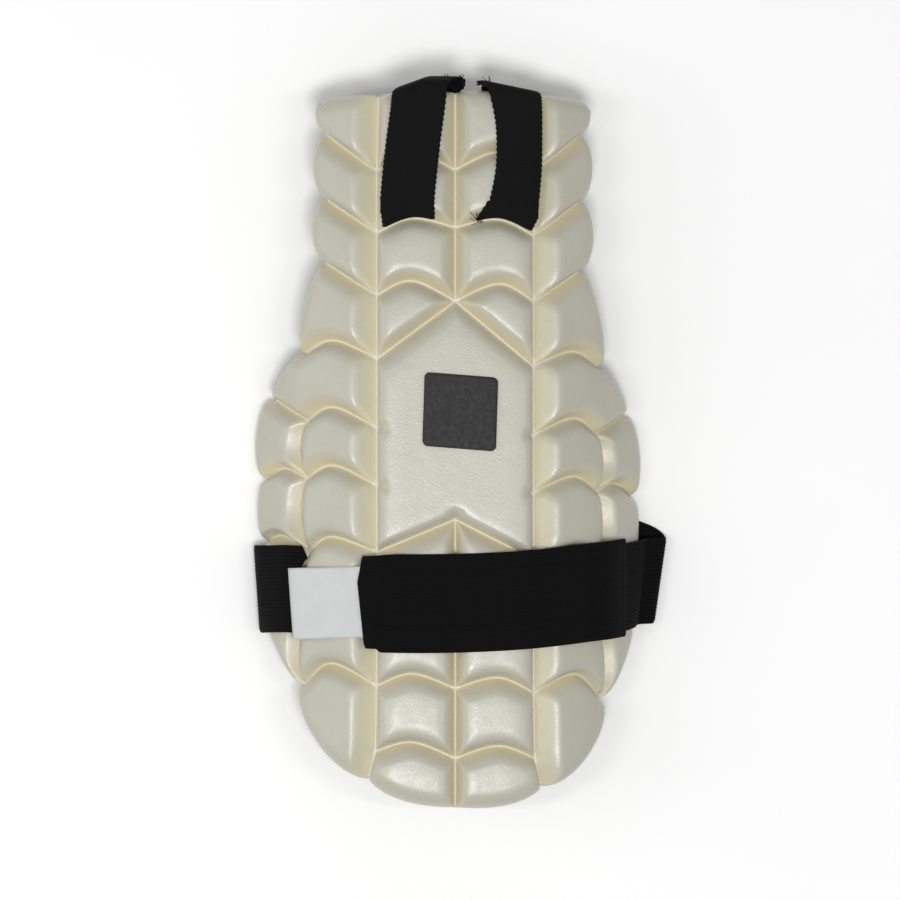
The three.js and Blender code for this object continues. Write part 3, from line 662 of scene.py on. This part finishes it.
def build_label():
    right, right_y, left_y, count, columns = -38.5, -67.3, -70.0, 24, 24
    offsets = np.linspace(LABEL_SIDE / 2, -LABEL_SIDE / 2, columns)
    rows = []
    for i in range(count + 1):
        out = right - (LABEL_SIDE + 1.4) * i / count
        along = float(along_under(out, LABEL_H)) + mix(-0.03, -0.07, i / count) * offsets
        h = mix(OVER_BLOCKS + LABEL_THICKNESS / 2, LABEL_H, smooth(-52, -60, out))
        rows.append(skin(along, mix(right_y, left_y, i / count) + offsets, float(h)))
    return strip_object("blank_label", np.array(rows), LABEL_THICKNESS, 0, 0, LABEL_SIDE, 0.2)


WEBBING_OVER = OVER_BLOCKS + WEBBING_THICKNESS / 2
WEBBING_UNDER = -FOAM_AT_GROOVES - CLEARANCE - 0.9
WEBBING_BACK_DOWN = 0.17

# How the webbing comes up out of its groove: distance before the groove, height
DROP = [(1.1, 5.4), (2.7, 6.95), (4.6, 7.8), (8, WEBBING_OVER)]


def groove_y(pair, along):
    run = np.array([net.points[i] for i in net.lines[pair]])
    order = np.argsort(run[:, 0])
    return np.interp(along, run[order, 0], run[order, 1])


def folded_lump(middle, around=48, rounds=24):
    """The bunched end of the fold: a small ball with creases."""
    turns = np.arange(around) * 2 * math.pi / around
    lifts = (np.arange(rounds) + 0.5) * math.pi / rounds
    turn, lift = np.meshgrid(turns, lifts)
    crease = 1 + 0.11 * np.sin(3 * turn + 4 * lift) + 0.07 * np.sin(7 * turn - 5 * lift)
    crease = crease + 0.03 * np.sin(13 * turn)
    level = np.sin(lift)
    shell = np.stack([3.3 * level * np.cos(turn), 3.2 * level * np.sin(turn), 3.6 * np.cos(lift)], -1)
    points = (middle + shell * crease[..., None]).reshape(-1, 3)
    points = np.concatenate([points, middle + [[0, 0, 3.6]], middle - [[0, 0, 3.6]]])
    index = np.arange(around * rounds).reshape(rounds, around)
    ahead = np.roll(index, -1, axis=1)
    a, b, c, d = index[:-1], index[1:], ahead[1:], ahead[:-1]
    faces = np.concatenate([np.stack([a, b, c], -1).reshape(-1, 3), np.stack([a, c, d], -1).reshape(-1, 3)])
    top, bottom = around * rounds, around * rounds + 1
    caps = [(top, index[0, i], ahead[0, i]) for i in range(around)]
    caps += [(bottom, ahead[-1, i], index[-1, i]) for i in range(around)]
    return points, np.concatenate([faces, np.array(caps)])


def frayed(anchors, seed):
    """Loose threads: short bent paths that start on a torn edge and leave it in the given direction."""
    random = np.random.default_rng(seed)
    paths = []
    for (x, y, z), (dx, dy, dz), spread, count, length in anchors:
        for _ in range(count):
            start = np.array([x, y, z]) + random.uniform(-1, 1, 3) * np.array([spread, spread * 0.35, 0.5])
            aim = np.array([dx, dy, dz]) + random.normal(0, 0.45, 3)
            aim /= np.linalg.norm(aim)
            bend = random.normal(0, 0.35, 3)
            reach = length * random.uniform(0.45, 1.1)
            t = np.linspace(0, 1, 5)[:, None]
            path = start + aim * reach * t + bend * reach * t * t
            paths.append(racked(path[:, 0], path[:, 1], path[:, 2]))
    return paths


def build_webbing(name, front_stops, top_stops, slant, groove, torn, seed, lump):
    columns = 49
    share = np.linspace(-0.5, 0.5, columns)
    rows = []
    end_x, end_width = front_stops[0][:2]
    flare_x, flare_width = front_stops[1][:2]
    for before, h in DROP:
        part = before / 9
        spots = mix(end_x, flare_x, part) + mix(end_width, flare_width, part) * share
        along = along_under(spots, WEBBING_OVER)
        rows.append(skin(along, groove_y(groove, along) + before, h))
    for x, width, down in front_stops[1:]:
        along = along_under(x + width * share, WEBBING_OVER)
        rows.append(skin(along, np.full(columns, y_at(down)), WEBBING_OVER))
    for x, width, beyond, up in top_stops:
        fold = beyond + slant * np.minimum(share, 0.5 if slant < 0 else 0.02)
        rows.append(racked(x + width * share, y_at(0) + fold, np.full(columns, REST_DROP + up)))
    x, width = top_stops[-1][:2]
    for i in range(6):
        y = mix(y_at(0) - 7, y_at(WEBBING_BACK_DOWN), i / 5)
        rows.append(skin(along_for(x + width * share), np.full(columns, y), WEBBING_UNDER))
    rows = np.array(rows)
    gaps = np.linalg.norm(np.diff(rows.mean(1), axis=0), axis=1)
    steps = [max(2, int(round(g / 0.6))) for g in gaps]
    grid = np.stack([spline(rows[:, c], steps) for c in range(columns)], axis=1)
    run = np.concatenate([[0], np.cumsum(np.linalg.norm(np.diff(grid.mean(1), axis=0), axis=1))])
    selvedge = 0.24 * np.sin(2 * math.pi * run[:, None] / 2.3) * (np.abs(share) * 2) ** 14 * np.sign(share)
    grid[..., 0] += selvedge
    threads = frayed(torn, seed)
    return strip_object(name, grid, WEBBING_THICKNESS, 1.35, 0.16, LEFT_WEBBING_WIDTH, 0.3, None, threads, lump)


# Stops on the front: x, width, share of the length; stops round the end: x, width, beyond the end, height.
# Torn spots: place, direction, spread, number and length of the loose threads
LEFT_WEBBING_WIDTH = 23.6
LEFT_WEBBING = dict(
    front_stops=[
        (-20.7, 22.5), (-21.4, 23.4, 0.155), (-20.6, 23.6, 0.125), (-18.9, 23.6, 0.075), (-17, 23.6, 0.03),
    ],
    top_stops=[
        (-16, 24.4, 1, 8), (-14.6, 25.4, 3.4, 5.4), (-11.6, 25.4, 4.5, 1), (-10.4, 24.6, 4, -4),
        (-9.6, 23.6, 0.6, -7.6),
    ],
    slant=9.4,
    groove=("C2", "-H2"),
    torn=[
        ((-3.6, 161.2, 45.5), (-0.5, 1, 0.3), 0.8, 12, 1.9),
        ((1.5, 161.2, 46), (0.3, 1, 0.3), 1.8, 10, 1.2),
    ],
    seed=5,
    lump=(0.9, 158.7, 45.2),
)
RIGHT_WEBBING = dict(
    front_stops=[
        (20.4, 25.2), (25.1, 21.6, 0.155), (27, 20, 0.11), (27.2, 20, 0.06), (26.4, 21.4, 0.026),
    ],
    top_stops=[
        (25, 23.6, -1.4, 8.2), (24, 24.6, 0.2, 6), (22.8, 26.4, 0.7, 1), (23.4, 25, 0.3, -4),
        (24, 23.6, -1, -7.8),
    ],
    slant=-5.1,
    groove=("C2", "H2"),
    torn=[
        ((14.2, 159.2, 45), (-0.4, 1, 0.3), 0.9, 10, 2.6),
        ((10.6, 158.6, 44), (-1, -0.1, 0.3), 0.9, 14, 1.7),
        ((34.4, 153.9, 46), (1, 0.3, 0.3), 0.7, 8, 2.0),
        ((10.6, 98.6, 49.9), (-0.7, 0.72, 0.12), 1.1, 12, 5.0),
    ],
    seed=9,
    lump=None,
)

# The badge: place of its middle, turn in degrees, height of its underside over the grooves
BADGE_AT = (1.7, 16.6)
BADGE_TURN = -1.8
BADGE_SEAT = 6.8
BADGE_RINGS = [(1, 0.0), (1, 0.3), (0.985, 0.45), (0.9, 0.5), (0.75, 0.5), (0.5, 0.5), (0.25, 0.5)]


def build_badge():
    half = BADGE_SIDE / 2
    outline = []
    for cx, cy, start in ((1, 1, 0), (-1, 1, 90), (-1, -1, 180), (1, -1, 270)):
        for k in range(9):
            angle = math.radians(start + 90 * k / 8)
            outline.append((cx * (half - BADGE_CORNER) + BADGE_CORNER * math.cos(angle),
                            cy * (half - BADGE_CORNER) + BADGE_CORNER * math.sin(angle)))
    outline = np.array(outline)
    turn = math.radians(BADGE_TURN)
    spin = np.array([[math.cos(turn), -math.sin(turn)], [math.sin(turn), math.cos(turn)]])
    seat = REST_DROP + BADGE_SEAT

    def laid(flats, height):
        return racked(flats[:, 0], flats[:, 1], np.full(len(flats), seat + height))

    rings = [laid((outline * scale) @ spin.T + np.array(BADGE_AT), height) for scale, height in BADGE_RINGS]
    middle = np.array([BADGE_AT])
    points = np.concatenate(rings + [laid(middle, BADGE_RINGS[-1][1]), laid(middle, 0.0)])
    n = len(outline)
    faces = []
    for r in range(len(rings) - 1):
        for i in range(n):
            j = (i + 1) % n
            faces.append((r * n + i, r * n + j, (r + 1) * n + j, (r + 1) * n + i))
    top, bottom = len(rings) * n, len(rings) * n + 1
    e = (len(rings) - 1) * n
    for i in range(n):
        j = (i + 1) % n
        faces.append((e + i, e + j, top))
        faces.append((j, i, bottom))
    return mesh_object("plain_badge", points, faces)


# Materials
class Nodes:
    def __init__(self, name):
        self.material = bpy.data.materials.new(name)
        self.material.use_nodes = True
        self.tree = self.material.node_tree
        self.tree.nodes.clear()
        self.out = self.tree.nodes.new("ShaderNodeOutputMaterial")
        self.shader = self.tree.nodes.new("ShaderNodeBsdfPrincipled")
        self.tree.links.new(self.shader.outputs[0], self.out.inputs[0])

    def node(self, kind, **settings):
        made = self.tree.nodes.new(kind)
        for key, value in settings.items():
            setattr(made, key, value)
        return made

    def link(self, source, target):
        self.tree.links.new(source, target)

    def math(self, operation, a, b=None):
        made = self.node("ShaderNodeMath", operation=operation)
        for i, item in enumerate((a, b)):
            if item is None:
                continue
            if isinstance(item, (int, float)):
                made.inputs[i].default_value = item
            else:
                self.link(item, made.inputs[i])
        return made.outputs[0]

    def attribute(self, name):
        return self.node("ShaderNodeAttribute", attribute_name=name).outputs["Fac"]

    def coordinates(self):
        return self.node("ShaderNodeTexCoord").outputs["Object"]

    def noise(self, scale, detail=3.0, roughness=0.5):
        made = self.node("ShaderNodeTexNoise")
        made.inputs["Scale"].default_value = scale
        made.inputs["Detail"].default_value = detail
        made.inputs["Roughness"].default_value = roughness
        self.link(self.coordinates(), made.inputs["Vector"])
        return made.outputs["Fac"]

    def ramp(self, factor, stops):
        made = self.node("ShaderNodeValToRGB")
        elements = made.color_ramp.elements
        while len(elements) < len(stops):
            elements.new(0.5)
        for element, (place, colour) in zip(elements, stops):
            element.position = place
            element.color = (*colour, 1)
        self.link(factor, made.inputs[0])
        return made.outputs[0]

    def mix(self, factor, a, b, blend="MIX"):
        made = self.node("ShaderNodeMix", data_type="RGBA", blend_type=blend)
        sockets = [s for s in made.inputs if s.type == "RGBA"]
        if isinstance(factor, (int, float)):
            made.inputs[0].default_value = factor
        else:
            self.link(factor, made.inputs[0])
        for socket, item in zip(sockets, (a, b)):
            if isinstance(item, tuple):
                socket.default_value = (*item, 1)
            else:
                self.link(item, socket)
        return [s for s in made.outputs if s.type == "RGBA"][0]

    def bump(self, height, strength, distance, normal=None):
        made = self.node("ShaderNodeBump")
        made.inputs["Strength"].default_value = strength
        made.inputs["Distance"].default_value = distance
        self.link(height, made.inputs["Height"])
        if normal is not None:
            self.link(normal, made.inputs["Normal"])
        return made.outputs[0]

    def finish(self, colour=None, roughness=None, normal=None, **constants):
        if colour is not None:
            self.link(colour, self.shader.inputs["Base Color"])
        if roughness is not None:
            self.link(roughness, self.shader.inputs["Roughness"])
        if normal is not None:
            self.link(normal, self.shader.inputs["Normal"])
        for key, item in constants.items():
            self.shader.inputs[key.replace("_", " ")].default_value = item
        return self.material


def foam_material():
    n = Nodes("pearl_foam")
    # Painted light: a warm gold glow in the grooves and a pale line along each groove floor, standing in for
    # bounce light that lifts their shade
    painted_glow = n.attribute("painted_groove_glow")
    floor = n.attribute("painted_groove_floor_light")
    patches = n.noise(38.0, 4.0, 0.55)
    fine = n.noise(900.0, 3.0, 0.6)
    base = n.ramp(patches, [(0.3, (0.44, 0.427, 0.355)), (0.7, (0.465, 0.452, 0.379))])
    grain = n.ramp(fine, [(0.3, (0.95, 0.95, 0.95)), (0.7, (1.0, 1.0, 1.0))])
    base = n.mix(1.0, base, grain, "MULTIPLY")
    # Mix in the painted glow colour, then the painted groove-floor light
    tint = n.mix(painted_glow, base, (0.66, 0.575, 0.34))
    tint = n.mix(n.math("MULTIPLY", floor, 0.6), tint, (0.66, 0.62, 0.5))
    rough = n.ramp(n.noise(260.0, 4.0, 0.6), [(0.3, (0.27, 0.27, 0.27)), (0.75, (0.36, 0.36, 0.36))])
    normal = n.bump(n.noise(1100.0, 2.0, 0.5), 0.3, 0.0002)
    normal = n.bump(n.noise(55.0, 2.0, 0.5), 0.12, 0.0012, normal)
    return n.finish(tint, rough, normal, Specular_IOR_Level=0.5)


def elastic_material(name, pitch):
    n = Nodes(name)
    u = n.attribute("strip_u")
    v = n.attribute("strip_v")
    wales = n.math("ABSOLUTE", n.math("SINE", n.math("MULTIPLY", v, math.pi / pitch)))
    knit = n.math("ABSOLUTE", n.math("SINE", n.math("MULTIPLY", u, math.pi / 0.8)))
    weave = n.math("ADD", n.math("MULTIPLY", wales, 0.7), n.math("MULTIPLY", knit, 0.3))
    worn = n.noise(60.0, 4.0, 0.6)
    colour = n.ramp(weave, [(0.15, (0.0015, 0.0015, 0.0017)), (0.9, (0.005, 0.005, 0.0053))])
    colour = n.mix(n.math("MULTIPLY", worn, 0.3), colour, (0.007, 0.007, 0.0073))
    fuzz = n.noise(2600.0, 2.0, 0.6)
    normal = n.bump(weave, 0.5, 0.00025)
    normal = n.bump(fuzz, 0.35, 0.0002, normal)
    rough = n.ramp(weave, [(0.0, (0.95, 0.95, 0.95)), (1.0, (0.78, 0.78, 0.78))])
    return n.finish(colour, rough, normal, Specular_IOR_Level=0.06, Sheen_Weight=0.02, Sheen_Roughness=0.5)


def webbing_material():
    n = Nodes("twill_webbing")
    u = n.attribute("strip_u")
    v = n.attribute("strip_v")
    diagonal = n.math("ADD", n.math("MULTIPLY", u, 1.0), n.math("MULTIPLY", v, 1.6))
    twill = n.math("ABSOLUTE", n.math("SINE", n.math("MULTIPLY", diagonal, math.pi / 1.5)))
    cross = n.math("ABSOLUTE", n.math("SINE", n.math("MULTIPLY", v, math.pi / 0.9)))
    weave = n.math("ADD", n.math("MULTIPLY", twill, 0.65), n.math("MULTIPLY", cross, 0.35))
    colour = n.ramp(weave, [(0.1, (0.0008, 0.0008, 0.0009)), (0.95, (0.0078, 0.0078, 0.0084))])
    worn = n.noise(90.0, 3.0, 0.6)
    colour = n.mix(n.math("MULTIPLY", worn, 0.3), colour, (0.008, 0.008, 0.0085))
    normal = n.bump(weave, 0.55, 0.0003)
    normal = n.bump(n.noise(2600.0, 2.0, 0.6), 0.3, 0.0002, normal)
    rough = n.ramp(weave, [(0.0, (0.92, 0.92, 0.92)), (1.0, (0.72, 0.72, 0.72))])
    return n.finish(colour, rough, normal, Specular_IOR_Level=0.08, Sheen_Weight=0.02, Sheen_Roughness=0.5)


def label_material():
    n = Nodes("white_tape")
    u = n.attribute("strip_u")
    v = n.attribute("strip_v")
    warp = n.math("ABSOLUTE", n.math("SINE", n.math("MULTIPLY", v, math.pi / 0.35)))
    weft = n.math("ABSOLUTE", n.math("SINE", n.math("MULTIPLY", u, math.pi / 0.35)))
    weave = n.math("MULTIPLY", n.math("ADD", warp, weft), 0.5)
    colour = n.ramp(n.noise(120.0, 3.0, 0.5), [(0.3, (0.53, 0.535, 0.535)), (0.7, (0.555, 0.56, 0.56))])
    rough = n.ramp(weave, [(0.0, (0.62, 0.62, 0.62)), (1.0, (0.5, 0.5, 0.5))])
    return n.finish(colour, rough, n.bump(weave, 0.2, 0.0001), Specular_IOR_Level=0.35)


def badge_material():
    n = Nodes("dark_transfer")
    fine = n.noise(1400.0, 3.0, 0.6)
    colour = n.ramp(fine, [(0.35, (0.0075, 0.0075, 0.0085)), (0.7, (0.014, 0.014, 0.016))])
    rough = n.ramp(n.noise(500.0, 3.0, 0.6), [(0.3, (0.55, 0.55, 0.55)), (0.7, (0.7, 0.7, 0.7))])
    return n.finish(colour, rough, n.bump(fine, 0.25, 0.0002), Specular_IOR_Level=0.4)


def dress(obj, material, node):
    obj.data.materials.append(material)
    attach(obj, "root")
    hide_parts(node)


pad = build_pad()
dress(pad, foam_material(), "moulded_pad")

band, band_length = build_elastic()
ribbed = elastic_material("ribbed_elastic", 1.6)
dress(band, ribbed, "elastic_strap")

tab, tab_length = build_tab()
dress(tab, elastic_material("fine_ribbed_elastic", 1.0), "strap_end_tab")

label, label_length = build_label()
dress(label, label_material(), "care_label")

twill = webbing_material()
loop_left, left_length = build_webbing("webbing_left", **LEFT_WEBBING)
dress(loop_left, twill, "webbing_loop_left")
loop_right, right_length = build_webbing("webbing_right", **RIGHT_WEBBING)
dress(loop_right, twill, "webbing_loop_right")

badge = build_badge()
dress(badge, badge_material(), "badge")

print("lengths mm", band_length, tab_length, label_length, left_length, right_length)


# Stage
def floor_material():
    n = Nodes("pale_floor")
    colour = n.ramp(n.noise(6.0, 2.0, 0.5), [(0.3, (0.93, 0.93, 0.93)), (0.7, (0.95, 0.95, 0.95))])
    return n.finish(colour, None, None, Roughness=0.9, Specular_IOR_Level=0.1)


bpy.ops.mesh.primitive_plane_add(size=6, location=(0, 0, 0))
floor = bpy.context.active_object
floor.name = "floor"
floor.data.materials.append(floor_material())


def area_light(name, place, size, power):
    light = bpy.data.lights.new(name, "AREA")
    light.shape = "RECTANGLE"
    light.size, light.size_y = size
    light.energy = power
    obj = link(bpy.data.objects.new(name, light))
    obj.location = place
    obj.rotation_euler = (-Vector(place)).to_track_quat("-Z", "Y").to_euler()


area_light("overhead", (-0.1, -0.34, 2.1), (0.5, 0.36), 20)
area_light("softbox_left", (-0.85, -0.1, 1.9), (0.12, 0.6), 4.6)
area_light("softbox_right", (0.62, -0.1, 1.9), (0.12, 0.6), 3.4)
area_light("left_wall", (-1.3, 0.0, 0.55), (0.8, 1.2), 4.3)
area_light("right_wall", (1.3, 0.0, 0.55), (0.8, 1.2), 0.4)

world = bpy.data.worlds.new("studio")
bpy.context.scene.world = world
world.use_nodes = True
world.node_tree.nodes["Background"].inputs[0].default_value = (1, 1, 1, 1)
world.node_tree.nodes["Background"].inputs[1].default_value = 0.38

bpy.context.scene.view_settings.view_transform = "Standard"

# Camera: straight over the pad, swung a little to its left side
IMAGE_WIDTH = 900
PAD_MIDDLE_PIXEL = 455
PIXEL_MM = 0.4336
FOCAL = 100
DISTANCE = 4.0
AIM_HEIGHT = 0.042
yaw = math.radians(-4.8)
camera_data = bpy.data.cameras.new("camera")
camera_data.lens = FOCAL
camera_data.sensor_width = IMAGE_WIDTH * PIXEL_MM * MM / DISTANCE * FOCAL
camera_data.clip_end = 10
camera = link(bpy.data.objects.new("camera", camera_data))
off_middle = (IMAGE_WIDTH / 2 - PAD_MIDDLE_PIXEL) * PIXEL_MM
aim = Vector((off_middle * MM - ORIGIN[0] * MM, -ORIGIN[1] * MM, AIM_HEIGHT))
camera.location = aim + Vector((math.sin(yaw) * DISTANCE, 0, math.cos(yaw) * DISTANCE))
camera.rotation_euler = (0, yaw, 0)
bpy.context.scene.camera = camera
